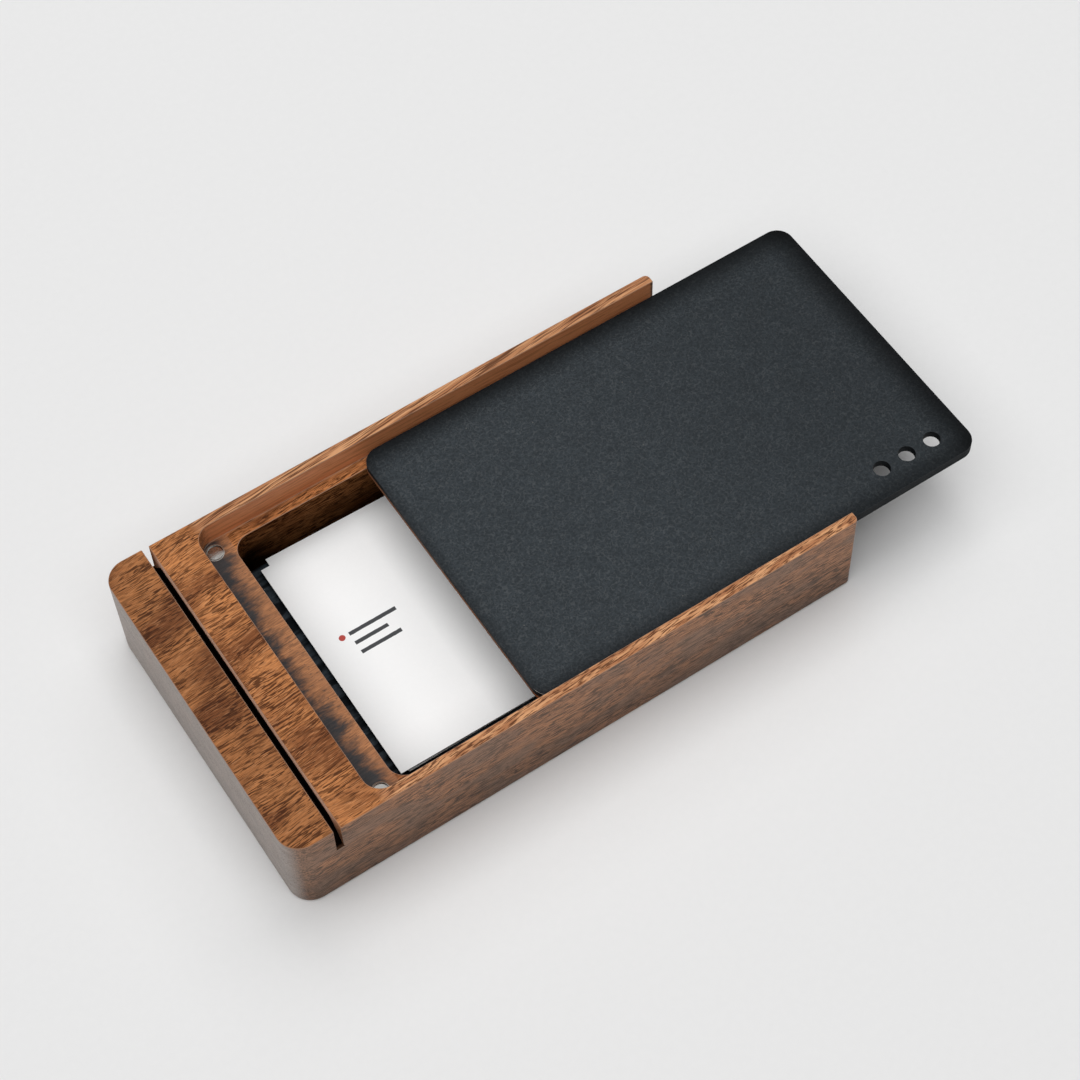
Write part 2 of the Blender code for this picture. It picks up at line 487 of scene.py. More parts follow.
def flecks(tree, place, waves, size, share):
    """Return the mask of scattered flecks."""
    inputs = {"Place": place, "Waves": waves, "Size": size, "Share": share}
    return node(tree, 'ShaderNodeGroup', inputs, node_tree=FLECKS).outputs["Mask"]


def facing_of(tree):
    """Return what the facing effect says of the surface."""
    normal = node(tree, 'ShaderNodeNewGeometry').outputs['Normal']
    return node(tree, 'ShaderNodeGroup', {"Normal": normal}, node_tree=FACING).outputs


# Walnut grain, which runs along X

WALNUT_PALE = (0.540, 0.214, 0.074)
WALNUT_DEEP = (0.170, 0.054, 0.017)
WALNUT_PORE = (0.046, 0.013, 0.004)
WALNUT_FIBRE = (0.560, 0.265, 0.120)

# Wavering: waves a metre, and how far it reaches
GRAIN_DRIFT = ((7.0, 16.0, 16.0), (0.0, 0.007, 0.006))
GRAIN_CURL = ((44.0, 60.0, 60.0), (0.0, 0.0036, 0.0030))

FIGURE = Mark((42.0, 100.0, 100.0), 0.40, 0.64, detail=3.0, roughness=0.55)
FIGURE_SHARE = 0.88
STREAK = Mark((14.0, 620.0, 620.0), 0.34, 0.68, high=0.30, detail=2.0, roughness=0.6)
CLUSTER = Mark((70.0, 240.0, 240.0), 0.34, 0.58, low=0.40)
FINE = Mark((430.0, 5200.0, 5200.0), 0.28, 0.72, low=0.82, high=1.18)
STROKE_WAVES = (280.0, 3600.0, 3600.0)
PALE_STROKE = (0.54, 0.68, 0.0, 0.50)
DEEP_STROKE = (0.46, 0.34, 0.0, 0.35)

# A dark stroke is the middle line of its noise, broken into dashes
LINE_WAVES = (120.0, 2300.0, 2300.0)
LINE_HALF_WIDTH = (0.120, 0.070)
DASH = Mark((270.0, 1900.0, 1900.0), 0.43, 0.50)
DASH_SHARE = 0.88

# Pores are denser where the figure is dark
PORE_SHIFT = (0.31, 0.17, 0.23)
PORE_WAVES = (250.0, 3900.0, 3900.0)
PORE_CUT = (0.600, 0.650)
PORE_DENSER = 0.03
PORE_SHARE = 0.85

# Relief of the wood: its depth and strength, and how high the strokes stand in it
WOOD_RELIEF = (0.00006, 0.6)
FINE_HEIGHT = 0.3
STROKE_HEIGHT = 0.8


def walnut_group():
    """Walnut figure, strokes, open pores and pale fibres that run along X."""
    group, given, out = new_group(
        "walnut_grain",
        (("Place", 'NodeSocketVector'),),
        (("Color", 'NodeSocketColor'), ("Figure", 'NodeSocketFloat'), ("Pore", 'NodeSocketFloat'),
         ("Height", 'NodeSocketFloat')))
    grain = wander(group, given["Place"], *GRAIN_DRIFT)
    grain = wander(group, grain, *GRAIN_CURL)
    figure = drawn(group, grain, FIGURE)
    fine = drawn(group, grain, FINE)
    stroke = noise(group, grain, STROKE_WAVES, detail=2.0)
    line = size_of(group, minus(group, noise(group, grain, LINE_WAVES), MIDDLE))
    line = fade(group, line, *LINE_HALF_WIDTH)
    pore_place = vector_calc(group, 'ADD', grain, PORE_SHIFT)
    dark = times(group, line, drawn(group, pore_place, DASH), drawn(group, grain, CLUSTER))
    denser = times(group, minus(group, figure, MIDDLE), PORE_DENSER)
    pore = calc(group, 'ADD', noise(group, pore_place, PORE_WAVES), denser)
    pore = fade(group, pore, *PORE_CUT)

    tone = blend(group, times(group, figure, FIGURE_SHARE), WALNUT_PALE, WALNUT_DEEP)
    tone = blend(group, drawn(group, grain, STREAK), tone, WALNUT_DEEP)
    tone = blend(group, fade(group, stroke, *PALE_STROKE), tone, WALNUT_FIBRE)
    tone = blend(group, fade(group, stroke, *DEEP_STROKE), tone, WALNUT_DEEP)
    tone = blend(group, times(group, dark, DASH_SHARE), tone, WALNUT_PORE)
    tone = blend(group, times(group, pore, PORE_SHARE), tone, WALNUT_PORE)
    tone = shade(group, tone, fine)
    height = calc(group, 'ADD', times(group, fine, FINE_HEIGHT), times(group, stroke, STROKE_HEIGHT))
    group.links.new(tone, out["Color"])
    group.links.new(figure, out["Figure"])
    group.links.new(either(group, pore, dark), out["Pore"])
    group.links.new(minus(group, height, pore), out["Height"])
    return group


WALNUT = walnut_group()


def walnut(tree, place):
    """Return what the walnut grain gives at a place."""
    return node(tree, 'ShaderNodeGroup', {"Place": place}, node_tree=WALNUT).outputs


# Oiled walnut

GRAIN_LEAN = 0.09
END_DARKER = 0.74
# Painted highlight: the paler tone and its share on the eased edges
WALNUT_EDGE_PAINTED_HIGHLIGHT = (0.460, 0.300, 0.215)
EDGE_HIGHLIGHT_SHARE = 0.45
OILED_ROUGHNESS = (0.42, 0.60)

# Rails: where they start along X, up from the ledge and out from the rebate's wall. Their upright walls
# carry painted light: a pale colour that stands in for the light falling on them.
RAIL_LIGHT = (0.665, 0.340, 0.166)
RAIL_TAN = (0.415, 0.178, 0.080)
RAIL_DASH = (0.085, 0.028, 0.011)
# Painted light: the pale colour of the rails' upright walls, and of the grain lines on them
RAIL_WALL_PAINTED_LIGHT = (0.850, 0.336, 0.146)
RAIL_WALL_PAINTED_LIGHT_LINE = (0.640, 0.240, 0.098)
RAIL_ALONG = (REBATE_X, REBATE_X + 0.003)
RAIL_UP = (LEDGE_Z - 0.002, LEDGE_Z)
RAIL_OUT = (REBATE_Y - 0.0012, REBATE_Y + 0.0004)
RAIL_TOP_FACING = (0.5, 0.8)
RAIL_WALL_FACING = (0.5, 0.2)
RAIL_CURL = ((60.0, 80.0, 80.0), (0.0, 0.0016, 0.0012))
RAIL_FIGURE_WAVES = (120.0, 1000.0, 1000.0)
RAIL_FIGURE = (0.36, 0.62)
RAIL_STROKE_WAVES = (300.0, 3000.0, 3000.0)
RAIL_STROKE = (0.48, 0.60, 0.0, 0.90)
RAIL_WALL_STROKE = (0.96, 1.16)

# From the front rail to the back one: waves along X as a share, and tone
FRONT_TO_BACK = (-0.02, 0.02)
RAIL_RUN = (1.0, 0.22)
RAIL_LEVEL = (1.0, 0.96)

# Outside faces, darker and greyer as painted shade and sheen: where it begins, how grey it is between
# pores, and its painted shade, darker toward the floor
WALNUT_SIDE_PAINTED_SHADE = (0.298, 0.180, 0.118)
WALNUT_GREY = (0.055, 0.050, 0.045)
PAINTED_SIDE_SLOT_END = (BLOCK_LOW.x + 0.0075, BLOCK_LOW.x + 0.0065)
PAINTED_SIDE_OPEN_END = (BLOCK_HIGH.x - 0.0012, BLOCK_HIGH.x - 0.0006)
PAINTED_SIDE_ACROSS = (REBATE_Y + 0.0018, REBATE_Y + 0.0028)
PAINTED_SIDE_FACING = (0.7, 0.3)
PAINTED_SIDE_SHARE = (0.42, 0.74)
PAINTED_SIDE_PORES = 0.55
SIDE_SHADE_BY_HEIGHT = (0.0, 0.024, 0.62, 1.16)

# End grain: mottle, bowed rings and pores, on a pale grey tone that is a painted reflection
WALNUT_END_PAINTED_REFLECTION = (0.360, 0.315, 0.288)
END_SHARE = 0.88
END_FACING = (0.50, 1.0)
END_LEVEL = (0.92, 1.08)
END_MOTTLE_WAVES = (300.0, 160.0, 330.0)
END_RING_BOW = ((0.0, 22.0, 30.0), (0.0, 0.0, 0.012))
END_RING_WAVES = (0.0, 28.0, 420.0)
END_PORE = Mark((900.0, 2300.0, 1700.0), 0.60, 0.68, high=0.45)

# End ledge, with a painted shadow that reaches out from the rebate's wall
WALNUT_LEDGE = (0.410, 0.196, 0.101)
WALNUT_PAINTED_SHADOW = (0.022, 0.029, 0.034)
LEDGE_SHARE = 0.55
LEDGE_SOFT = 0.0006
LEDGE_UP = (LEDGE_Z - 0.0006, LEDGE_Z + 0.0003)
# How far the painted shadow reaches from the rebate's wall, and how ragged and blotchy it is
SHADOW_REACH = 0.0078
SHADOW_REACH_AT_MAGNETS = 0.0030
SHADOW_BY_MAGNETS = (0.030, 0.042)
SHADOW_RAGGED = 0.0085
SHADOW_SOFT = 0.0062
SHADOW_CURL = ((90.0, 160.0, 90.0), (0.0, 0.0040, 0.0))
SHADOW_EDGE_WAVES = (230.0, 620.0, 600.0)
SHADOW_PATCH_WAVES = (60.0, 150.0, 60.0)
SHADOW_BLOT_WAVES = (700.0, 1500.0, 900.0)
SHADOW_BLOT_GAIN = 0.5
SHADOW_BLOTS = (0.45, 0.80, 0.50, 1.10)
SHADOW_SPECKS = (0.62, 0.70)
SHADOW_SPECK_REACH = (-0.0035, 0.0, 0.0, 0.65)
SHADOW_SHARE = 0.88
SHADOW_MOST = 0.95


class Spot(NamedTuple):
    """What the oiled finish knows of the point that it colours."""

    tree: object
    place: object
    leaned: object
    x: object
    y: object
    z: object
    across: object
    facing: object
    wood: object


def with_rails(spot, tone):
    """Return the tone with paler rails: short dashes on the front one, long lines on the back one, and
    painted light on their upright walls.
    """
    tree = spot.tree
    rail = times(
        tree, fade(tree, spot.across, *RAIL_OUT), fade(tree, spot.x, *RAIL_ALONG),
        fade(tree, spot.z, *RAIL_UP))
    run = combine(tree, X=fade(tree, spot.y, *FRONT_TO_BACK, *RAIL_RUN), Y=1.0, Z=1.0)
    along = vector_calc(tree, 'MULTIPLY', wander(tree, spot.leaned, *RAIL_CURL), run)
    figure = noise(tree, along, RAIL_FIGURE_WAVES, detail=2.0)
    stroke = noise(tree, along, RAIL_STROKE_WAVES, detail=2.0)
    top = blend(tree, fade(tree, figure, *RAIL_FIGURE), RAIL_LIGHT, RAIL_TAN)
    top = blend(tree, fade(tree, stroke, *RAIL_STROKE), top, RAIL_DASH)
    top = shade(tree, top, fade(tree, spot.y, *FRONT_TO_BACK, *RAIL_LEVEL))
    tone = blend(tree, times(tree, rail, fade(tree, spot.facing["Up"], *RAIL_TOP_FACING)), tone, top)
    # Painted light: the rails' upright walls get a pale lit colour with darker grain lines
    lined = fade(tree, calc(tree, 'ADD', figure, stroke), *RAIL_WALL_STROKE)
    wall = blend(tree, lined, RAIL_WALL_PAINTED_LIGHT, RAIL_WALL_PAINTED_LIGHT_LINE)
    return blend(tree, times(tree, rail, fade(tree, spot.facing["Up"], *RAIL_WALL_FACING)), tone, wall)


def with_painted_shade_and_reflection(spot, tone):
    """Return the tone with painted shade on the outside: darker, greyer sides, greyer between the pores
    and darker toward the floor, and end grain in a pale grey that is a painted reflection.
    """
    tree = spot.tree
    by_ends = either(tree, fade(tree, spot.x, *PAINTED_SIDE_SLOT_END), fade(tree, spot.x, *PAINTED_SIDE_OPEN_END))
    outside = either(tree, by_ends, fade(tree, spot.across, *PAINTED_SIDE_ACROSS))
    upright = times(tree, outside, fade(tree, spot.facing["Up"], *PAINTED_SIDE_FACING))
    share = fade(tree, spot.wood["Figure"], 0.0, 1.0, *PAINTED_SIDE_SHARE)
    # Painted shade and sheen: the sides take a darker, greyer tone than the top, greyer still between the
    # pores
    side = blend(tree, share, spot.wood["Color"], WALNUT_SIDE_PAINTED_SHADE)
    side = blend(tree, times(tree, spot.wood["Pore"], PAINTED_SIDE_PORES), side, WALNUT_GREY)
    # Painted shade: the sides darken toward the floor
    side = shade(tree, side, fade(tree, spot.z, *SIDE_SHADE_BY_HEIGHT))
    tone = blend(tree, upright, tone, side)

    endwise = times(tree, upright, fade(tree, spot.facing["Along"], *END_FACING))
    mottle = noise(tree, spot.place, END_MOTTLE_WAVES, detail=3.0, roughness=0.6)
    bowed = wander(tree, spot.place, *END_RING_BOW)
    rings = noise(tree, bowed, END_RING_WAVES, detail=2.0, roughness=0.6)
    # Painted reflection: the end grain is given a pale grey tone
    end = shade(tree, WALNUT_END_PAINTED_REFLECTION, vary(tree, mottle, *END_LEVEL))
    end = shade(tree, end, vary(tree, rings, *END_LEVEL))
    end = blend(tree, drawn(tree, spot.place, END_PORE), end, WALNUT_GREY)
    return blend(tree, times(tree, endwise, END_SHARE), tone, end)


def with_painted_wall_shadow(spot, tone):
    """Return the tone with a painted shadow on the end ledge: blue-black, darkest by the rebate's wall,
    ragged along the grain.
    """
    tree = spot.tree
    on_ledge = times(
        tree, within(tree, spot.z, *LEDGE_UP, LEDGE_SOFT),
        within(tree, spot.x, REBATE_X, POCKET_LOW.x, LEDGE_SOFT),
        fade(tree, spot.across, REBATE_Y, REBATE_Y - LEDGE_SOFT))
    tone = blend(tree, times(tree, on_ledge, LEDGE_SHARE), tone, WALNUT_LEDGE)
    # Painted shadow: the rebate's wall shades the end ledge, with ragged edges, blots and specks
    curled = wander(tree, spot.place, *SHADOW_CURL)
    ragged = noise(tree, curled, SHADOW_EDGE_WAVES, detail=4.0, roughness=0.65)
    patchy = noise(tree, spot.place, SHADOW_PATCH_WAVES)
    uneven = minus(tree, calc(tree, 'ADD', ragged, patchy), 2 * MIDDLE)
    reach = fade(
        tree, spot.across, *SHADOW_BY_MAGNETS, SHADOW_REACH, SHADOW_REACH + SHADOW_REACH_AT_MAGNETS)
    reach = calc(tree, 'ADD', reach, times(tree, uneven, SHADOW_RAGGED))
    depth = minus(tree, reach, minus(tree, spot.x, REBATE_X))
    painted_shadow = fade(tree, depth, 0.0, SHADOW_SOFT)
    blots = noise(tree, curled, SHADOW_BLOT_WAVES, detail=2.0, roughness=0.6)
    blotted = calc(tree, 'ADD', blots, times(tree, painted_shadow, SHADOW_BLOT_GAIN))
    painted_shadow = times(tree, painted_shadow, fade(tree, blotted, *SHADOW_BLOTS))
    specks = times(tree, fade(tree, blots, *SHADOW_SPECKS), fade(tree, depth, *SHADOW_SPECK_REACH))
    painted_shadow = times(tree, either(tree, painted_shadow, specks), on_ledge, SHADOW_SHARE)
    return blend(tree, calc(tree, 'MINIMUM', painted_shadow, SHADOW_MOST), tone, WALNUT_PAINTED_SHADOW)


def oiled_walnut_material():
    """Oiled walnut of the outside: paler rails with painted light on their walls, sides with painted shade
    and sheen, end grain with a painted reflection, a painted shadow on the end ledge and painted
    highlights on the eased edges.
    """
    material, tree, shader = new_material("oiled_walnut", Specular_IOR_Level=0.22)
    place = object_place(tree)
    x, y, z = split(tree, place)
    facing = facing_of(tree)
    lean = combine(tree, Y=times(tree, x, facing["Up"], -GRAIN_LEAN))
    leaned = vector_calc(tree, 'ADD', place, lean)
    wood = walnut(tree, leaned)
    spot = Spot(tree, place, leaned, x, y, z, size_of(tree, y), facing, wood)
    tone = shade(tree, wood["Color"], fade(tree, x, SLOT_X, SLOT_X + SLOT_WIDTH, END_DARKER, 1.0))
    tone = with_painted_wall_shadow(spot, with_painted_shade_and_reflection(spot, with_rails(spot, tone)))
    # Painted highlight: eased edges are blended toward a paler tone
    tone = blend(tree, times(tree, facing["Edge"], EDGE_HIGHLIGHT_SHARE), tone, WALNUT_EDGE_PAINTED_HIGHLIGHT)
    wire(tree, shader, Base_Color=tone,
         Roughness=fade(tree, wood["Pore"], 0.0, 1.0, *OILED_ROUGHNESS),
         Normal=bump(tree, wood["Height"], *WOOD_RELIEF))
    return material


# Bare walnut of the pocket and the slot, with painted shade and painted light

# Painted light on the slot's upper walls, and painted shade, near black, deeper in
WALNUT_SLOT_PAINTED_LIGHT = (0.860, 0.600, 0.460)
SLOT_FINISH_END = (SLOT_X + SLOT_WIDTH + 0.002, SLOT_X + SLOT_WIDTH + 0.001)
SLOT_PAINTED_LIGHT_AND_SHADE = (0.0026, 0.0036, 1.0, 0.02)
SLOT_MOUTH = 0.0070
SLOT_PAINTED_LIGHT_ACROSS = (BLOCK_HIGH.y - 0.0010, BLOCK_HIGH.y - SLOT_MOUTH, 0.10, 0.95)
# Painted shade: the pocket darkens with depth and toward its slot end, less so near its lip
POCKET_PAINTED_SHADE_BY_HEIGHT = (LEDGE_Z - 0.0005, POCKET_LOW.z + 0.006, 0.46, 0.16)
POCKET_PAINTED_SHADE_AT_END = (POCKET_LOW.x + 0.004, POCKET_LOW.x + 0.018, 0.10, 1.0)
POCKET_LIP = (LEDGE_Z - 0.011, LEDGE_Z - 0.003)


def bare_walnut_material():
    """Bare walnut of the pocket and the slot, with painted shade that darkens it the deeper it lies and
    painted light on the slot's upper walls.
    """
    material, tree, shader = new_material("bare_walnut", Roughness=0.9, Specular_IOR_Level=0.0)
    place = object_place(tree)
    wood = walnut(tree, place)
    x, y, z = split(tree, place)
    across = size_of(tree, y)
    # Painted shade in the pocket
    end = either(tree, fade(tree, x, *POCKET_PAINTED_SHADE_AT_END), fade(tree, z, *POCKET_LIP))
    pocket = times(tree, fade(tree, z, *POCKET_PAINTED_SHADE_BY_HEIGHT), end)
    pocket_tone = shade(tree, wood["Color"], pocket)
    # Painted light near the slot's top and mouth, painted shade deeper in
    mouth = fade(tree, across, BLOCK_HIGH.y - SLOT_MOUTH, BLOCK_HIGH.y, 0.0, SLOT_MOUTH)
    sink = minus(tree, minus(tree, BLOCK_HIGH.z, z), mouth)
    slot_tone = blend(tree, fade(tree, across, *SLOT_PAINTED_LIGHT_ACROSS), wood["Color"], WALNUT_SLOT_PAINTED_LIGHT)
    slot_tone = shade(tree, slot_tone, fade(tree, sink, *SLOT_PAINTED_LIGHT_AND_SHADE))
    tone = blend(tree, fade(tree, x, *SLOT_FINISH_END), pocket_tone, slot_tone)
    wire(tree, shader, Base_Color=tone, Normal=bump(tree, wood["Height"], *WOOD_RELIEF))
    return material


# Coat of the lid

COAT_BASE = (0.0330, 0.0390, 0.0440)
COAT_RIDGE = (0.1000, 0.1080, 0.1130)
COAT_FLECK = (0.1700, 0.1650, 0.1500)
# Painted shade: the lid's upright sides are darker than its top
COAT_SIDE_PAINTED_SHADE = (0.0060, 0.0075, 0.0090)
# Painted highlight: a paler line along the top rim
COAT_RIM_PAINTED_HIGHLIGHT = (0.0600, 0.0640, 0.0680)
# Painted glint on one corner of the rim
COAT_CORNER_PAINTED_GLINT = (0.6200, 0.6000, 0.5700)
# A brown band low on the end that meets the cards
LID_END_BROWN = (0.2400, 0.1000, 0.0440)
COAT_CURL = (evenly(620.0), evenly(0.0015))
COAT_WRINKLE_WAVES = evenly(640.0)
COAT_RIDGE_HALF_WIDTH = (0.045, 0.0)
COAT_RIDGE_SHARE = 0.34
COAT_PEBBLE_WAVES = evenly(1700.0)
COAT_PEBBLE_LEVEL = (0.80, 1.20)
COAT_CLOUD_WAVES = evenly(150.0)
COAT_CLOUD_LEVEL = (0.93, 1.07)
COAT_FLECKS = (420.0, 0.09, 0.06)
COAT_FLECK_SHARE = 0.4
COAT_SIDE_PAINTED_SHADE_FACING = (0.35, 0.15)
COAT_RIM_UP = (LID_HIGH.z - LID_EASE, LID_HIGH.z - LID_EASE / 2)
COAT_RIM_SHARE = 0.6
COAT_ROUGHNESS = (0.60, 0.72)
COAT_RELIEF = (0.00004, 0.5)

# The coat darkens toward each edge, as painted shade: how far in that reaches, and the level at the edge
COAT_PAINTED_SHADE_FALLS = (
    ("end", 0.011, 0.16),
    ("end", 0.115, 0.72),
    ("cards", 0.004, 0.65),
    ("back", 0.010, 0.20),
    ("front", 0.008, 0.40),
)

# One corner of the top rim gets a painted glint, and the end that meets the cards gets a brown band low
# down
GLINT_REACH = (0.0050, 0.0035)
GLINT_SHARE = 0.8
BROWN_BAND_FACING = (0.70, 0.85)
BROWN_BAND_REACH = (0.0030, 0.0010)
BROWN_BAND_UP = (LID_LOW.z + 0.0016, LID_LOW.z + 0.0011)
BROWN_BAND_LEVEL = (0.3, 0.6, 0.75, 1.0)


def lid_material():
    """Charcoal wrinkle coat, a few pale flecks, with painted shade by its edges and on its sides, painted
    highlights on its top rim and one corner, and a brown band low on the end by the cards.
    """
    material, tree, shader = new_material("charcoal_coat", Specular_IOR_Level=0.1)
    place = object_place(tree)
    x, y, z = split(tree, place)
    wrinkle = noise(tree, wander(tree, place, *COAT_CURL), COAT_WRINKLE_WAVES)
    ridge = fade(tree, size_of(tree, minus(tree, wrinkle, MIDDLE)), *COAT_RIDGE_HALF_WIDTH)
    pebble = vary(tree, noise(tree, place, COAT_PEBBLE_WAVES), *COAT_PEBBLE_LEVEL)
    cloud = noise(tree, place, COAT_CLOUD_WAVES, detail=3.0)
    tone = blend(tree, times(tree, ridge, COAT_RIDGE_SHARE), shade(tree, COAT_BASE, pebble), COAT_RIDGE)
    tone = shade(tree, tone, vary(tree, cloud, *COAT_CLOUD_LEVEL))
    tone = blend(tree, times(tree, flecks(tree, place, *COAT_FLECKS), COAT_FLECK_SHARE), tone, COAT_FLECK)

    inward = {
        "end": minus(tree, LID_HIGH.x, x),
        "cards": minus(tree, x, LID_LOW.x),
        "back": minus(tree, LID_HIGH.y, y),
        "front": minus(tree, y, LID_LOW.y),
    }
    # Painted shade: the coat darkens toward each edge
    falls = [fade(tree, inward[edge], 0.0, reach, level, 1.0) for edge, reach, level in COAT_PAINTED_SHADE_FALLS]
    tone = shade(tree, tone, times(tree, *falls))
    facing = facing_of(tree)
    # Painted shade on the lid's upright sides
    tone = blend(tree, fade(tree, facing["Up"], *COAT_SIDE_PAINTED_SHADE_FACING), tone, COAT_SIDE_PAINTED_SHADE)
    # Painted highlight: a paler line along the top's eased rim
    rim = times(tree, facing["Edge"], fade(tree, z, *COAT_RIM_UP))
    tone = blend(tree, times(tree, rim, COAT_RIM_SHARE), tone, COAT_RIM_PAINTED_HIGHLIGHT)
    # Painted glint: a pale spot on the rim at the corner by the cards and the front
    painted_glint = times(
        tree, rim, fade(tree, inward["cards"], *GLINT_REACH), fade(tree, inward["front"], *GLINT_REACH))
    tone = blend(tree, times(tree, painted_glint, GLINT_SHARE), tone, COAT_CORNER_PAINTED_GLINT)
    # A brown band low on the end face that meets the cards
    brown_band = times(
        tree, fade(tree, facing["Along"], *BROWN_BAND_FACING), fade(tree, inward["cards"], *BROWN_BAND_REACH),
        fade(tree, z, *BROWN_BAND_UP), fade(tree, cloud, *BROWN_BAND_LEVEL))
    tone = blend(tree, brown_band, tone, LID_END_BROWN)
    wire(tree, shader, Base_Color=tone, Roughness=vary(tree, cloud, *COAT_ROUGHNESS),
         Normal=bump(tree, ridge, *COAT_RELIEF))
    return material


# Other finishes

NICKEL_LIGHT = (0.60, 0.59, 0.57)
NICKEL_DARK = (0.40, 0.39, 0.37)
NICKEL_MARK_WAVES = (900.0, 2600.0, 900.0)
NICKEL_ROUGHNESS = (0.16, 0.34)


def nickel_material():
    """Bright nickel plate with fine handling marks."""
    material, tree, shader = new_material("nickel_plate", Metallic=1.0)
    handled = noise(tree, object_place(tree), NICKEL_MARK_WAVES, detail=3.0)
    wire(tree, shader,
         Base_Color=blend(tree, handled, NICKEL_LIGHT, NICKEL_DARK),
         Roughness=vary(tree, handled, *NICKEL_ROUGHNESS))
    return material


FELT_DARK = (0.0060, 0.0085, 0.0110)
FELT_LIGHT = (0.0330, 0.0410, 0.0480)
FELT_LINT = (0.1200, 0.1200, 0.1200)
FELT_CURL = (evenly(500.0), evenly(0.002))
FELT_WOOL_WAVES = evenly(1500.0)
FELT_BAND = Mark((90.0, 480.0, 90.0), 0.40, 0.62, low=0.35, high=1.8)
FELT_FLECKS = (500.0, 0.10, 0.02)
FELT_RELIEF = (0.0003, 0.6)


def felt_material():
    """Blue-black wool felt with faint rolled bands across it and a little lint."""
    material, tree, shader = new_material("black_felt", Roughness=0.95, Specular_IOR_Level=0.15)
    place = object_place(tree)
    curled = wander(tree, place, *FELT_CURL)
    wool = noise(tree, curled, FELT_WOOL_WAVES, detail=3.0, roughness=0.6)
    tone = shade(tree, blend(tree, wool, FELT_DARK, FELT_LIGHT), drawn(tree, place, FELT_BAND))
    tone = blend(tree, flecks(tree, curled, *FELT_FLECKS), tone, FELT_LINT)
    wire(tree, shader, Base_Color=tone, Normal=bump(tree, wool, *FELT_RELIEF))
    return material


PAPER_LOW = (0.885, 0.885, 0.882)
PAPER_HIGH = (0.915, 0.915, 0.912)
PAPER_CUT = (0.720, 0.720, 0.710)
PAPER_FIBRE_WAVES = evenly(900.0)
PAPER_CUT_FACING = (0.6, 0.3)
PAPER_RELIEF = (0.00002, 0.3)

# Print on the top card: each bar has a left end, a middle line and a length
INK_DARK = (0.020, 0.022, 0.026)
INK_RED = (0.420, 0.030, 0.018)
INK_SHARE = 0.95
INK_SOFT = 0.00012
INK_BLEED = (evenly(900.0), (0.00015, 0.00015, 0.0))
INK_UP = (CARD_TOP - 0.0001, CARD_TOP - 0.00005)
BAR_WIDTH = 0.0011
BARS = (
    (-0.0385, 0.0090, 0.0150),
    (-0.0385, 0.0056, 0.0105),
    (-0.0385, 0.0022, 0.0128),
)
DOT_PLACE = (-0.0408, 0.0090)
DOT_RADIUS = 0.0009


def with_print(tree, place, tone):
    """Return the tone with three dark bars and a red dot on the card's top."""
    x, y, z = split(tree, wander(tree, place, *INK_BLEED))
    on_top = fade(tree, z, *INK_UP)
    for left, middle, length in BARS:
        bar = times(
            tree, within(tree, x, left, left + length, INK_SOFT),
            within(tree, y, middle - BAR_WIDTH / 2, middle + BAR_WIDTH / 2, INK_SOFT))
        tone = blend(tree, times(tree, bar, on_top, INK_SHARE), tone, INK_DARK)
    aside = minus(tree, x, DOT_PLACE[0])
    above = minus(tree, y, DOT_PLACE[1])
    away = calc(tree, 'SQRT', calc(tree, 'ADD', times(tree, aside, aside), times(tree, above, above)))
    dot = fade(tree, away, DOT_RADIUS + INK_SOFT, DOT_RADIUS)
    return blend(tree, times(tree, dot, on_top, INK_SHARE), tone, INK_RED)


def paper_material(name, printed):
    """Uncoated white card, its cut edges greyer, with or without the print."""
    material, tree, shader = new_material(name, Roughness=0.8, Specular_IOR_Level=0.25)
    place = object_place(tree)
    fibre = noise(tree, place, PAPER_FIBRE_WAVES, detail=4.0, roughness=0.6)
    tone = blend(tree, fibre, PAPER_LOW, PAPER_HIGH)
    tone = blend(tree, fade(tree, facing_of(tree)["Up"], *PAPER_CUT_FACING), tone, PAPER_CUT)
    if printed:
        tone = with_print(tree, place, tone)
    wire(tree, shader, Base_Color=tone, Normal=bump(tree, fibre, *PAPER_RELIEF))
    return material


RUBBER_HIGH = (0.022, 0.022, 0.024)
RUBBER_LOW = (0.009, 0.009, 0.010)
RUBBER_DUST = (0.15, 0.14, 0.13)
RUBBER_PEBBLE_WAVES = 900.0
RUBBER_WEAR_WAVES = evenly(45.0)
RUBBER_WEAR_LEVEL = (0.8, 1.5)
RUBBER_FLECKS = (300.0, 0.08, 0.08)
RUBBER_DUST_SHARE = 0.5
RUBBER_ROUGHNESS = (0.72, 0.88)
RUBBER_RELIEF = (0.0002, 0.6)


def rubber_material():
    """Black non-slip rubber sheet with a fine pebble and specks of dust."""
    material, tree, shader = new_material("base_rubber_sheet", Specular_IOR_Level=0.3)
    place = object_place(tree)
    cells = node(tree, 'ShaderNodeTexVoronoi', {'Vector': place, 'Scale': RUBBER_PEBBLE_WAVES})
    pebble = cells.outputs['Distance']
    worn = noise(tree, place, RUBBER_WEAR_WAVES, detail=4.0, roughness=0.6)
    tone = shade(tree, blend(tree, pebble, RUBBER_HIGH, RUBBER_LOW), vary(tree, worn, *RUBBER_WEAR_LEVEL))
    dust = times(tree, flecks(tree, place, *RUBBER_FLECKS), RUBBER_DUST_SHARE)
    tone = blend(tree, dust, tone, RUBBER_DUST)
    wire(tree, shader, Base_Color=tone, Roughness=vary(tree, worn, *RUBBER_ROUGHNESS),
         Normal=bump(tree, minus(tree, 1.0, pebble), *RUBBER_RELIEF))
    return material


# Pieces


